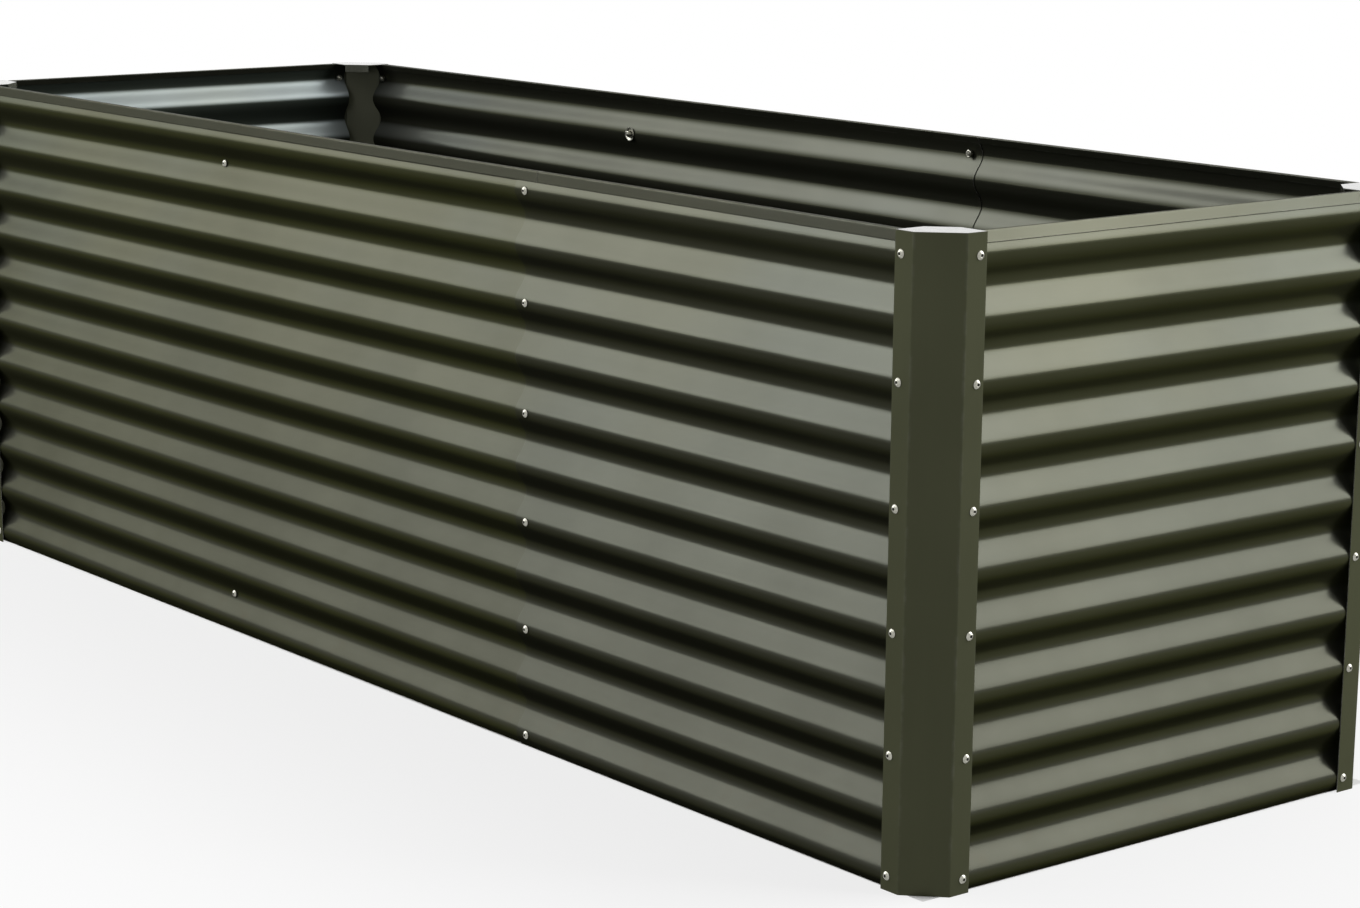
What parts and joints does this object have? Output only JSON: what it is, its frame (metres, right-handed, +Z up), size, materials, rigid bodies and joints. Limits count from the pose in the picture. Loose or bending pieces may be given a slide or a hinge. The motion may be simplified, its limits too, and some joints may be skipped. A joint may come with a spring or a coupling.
{
  "type": "raised garden bed",
  "caption": "Tall rectangular raised garden bed of painted corrugated steel sheets, bolted to chamfered corner posts, with a folded top capping and open at top and bottom.",
  "frame": {"origin": "middle of the footprint, on the ground under the posts' feet", "axes": "+X along the long walls towards the end with the short sheets, +Y across to the back wall, +Z up"},
  "size_m": [2.4064, 0.8064, 0.78],
  "materials": {
    "sheet_paint": "semi-gloss dark olive grey",
    "post_paint": "satin darker olive grey",
    "cap_finish": "glossy dark olive grey",
    "zinc": "bright zinc plate"
  },
  "bodies": {
    "root": {"post_front_right": "post_paint", "post_back_right": "post_paint", "post_back_left": "post_paint", "post_front_left": "post_paint", "post_cap_front_right": "cap_finish", "post_cap_back_right": "cap_finish", "post_cap_back_left": "cap_finish", "post_cap_front_left": "cap_finish", "right_end_sheet": "sheet_paint", "left_end_sheet": "sheet_paint", "front_short_sheet": "sheet_paint", "front_long_sheet": "sheet_paint", "back_short_sheet": "sheet_paint", "back_long_sheet": "sheet_paint", "right_end_capping": "sheet_paint", "left_end_capping": "sheet_paint", "front_short_capping": "sheet_paint", "front_long_capping": "sheet_paint", "back_short_capping": "sheet_paint", "back_long_capping": "sheet_paint", "front_seam_bolt_1": "zinc", "front_seam_bolt_2": "zinc", "front_seam_bolt_3": "zinc", "front_seam_bolt_4": "zinc", "front_seam_bolt_5": "zinc", "front_seam_bolt_6": "zinc", "front_seam_nut_1": "zinc", "front_seam_nut_2": "zinc", "front_seam_nut_3": "zinc", "front_seam_nut_4": "zinc", "front_seam_nut_5": "zinc", "front_seam_nut_6": "zinc", "front_tie_bolt_upper": "zinc", "front_tie_bolt_lower": "zinc", "front_tie_washer_upper": "zinc", "front_tie_washer_lower": "zinc", "front_tie_nut_upper": "zinc", "front_tie_nut_lower": "zinc", "back_seam_bolt_1": "zinc", "back_seam_bolt_2": "zinc", "back_seam_bolt_3": "zinc", "back_seam_bolt_4": "zinc", "back_seam_bolt_5": "zinc", "back_seam_bolt_6": "zinc", "back_seam_nut_1": "zinc", "back_seam_nut_2": "zinc", "back_seam_nut_3": "zinc", "back_seam_nut_4": "zinc", "back_seam_nut_5": "zinc", "back_seam_nut_6": "zinc", "back_tie_bolt_upper": "zinc", "back_tie_bolt_lower": "zinc", "back_tie_washer_upper": "zinc", "back_tie_washer_lower": "zinc", "back_tie_nut_upper": "zinc", "back_tie_nut_lower": "zinc"}
  },
  "joints": []
}
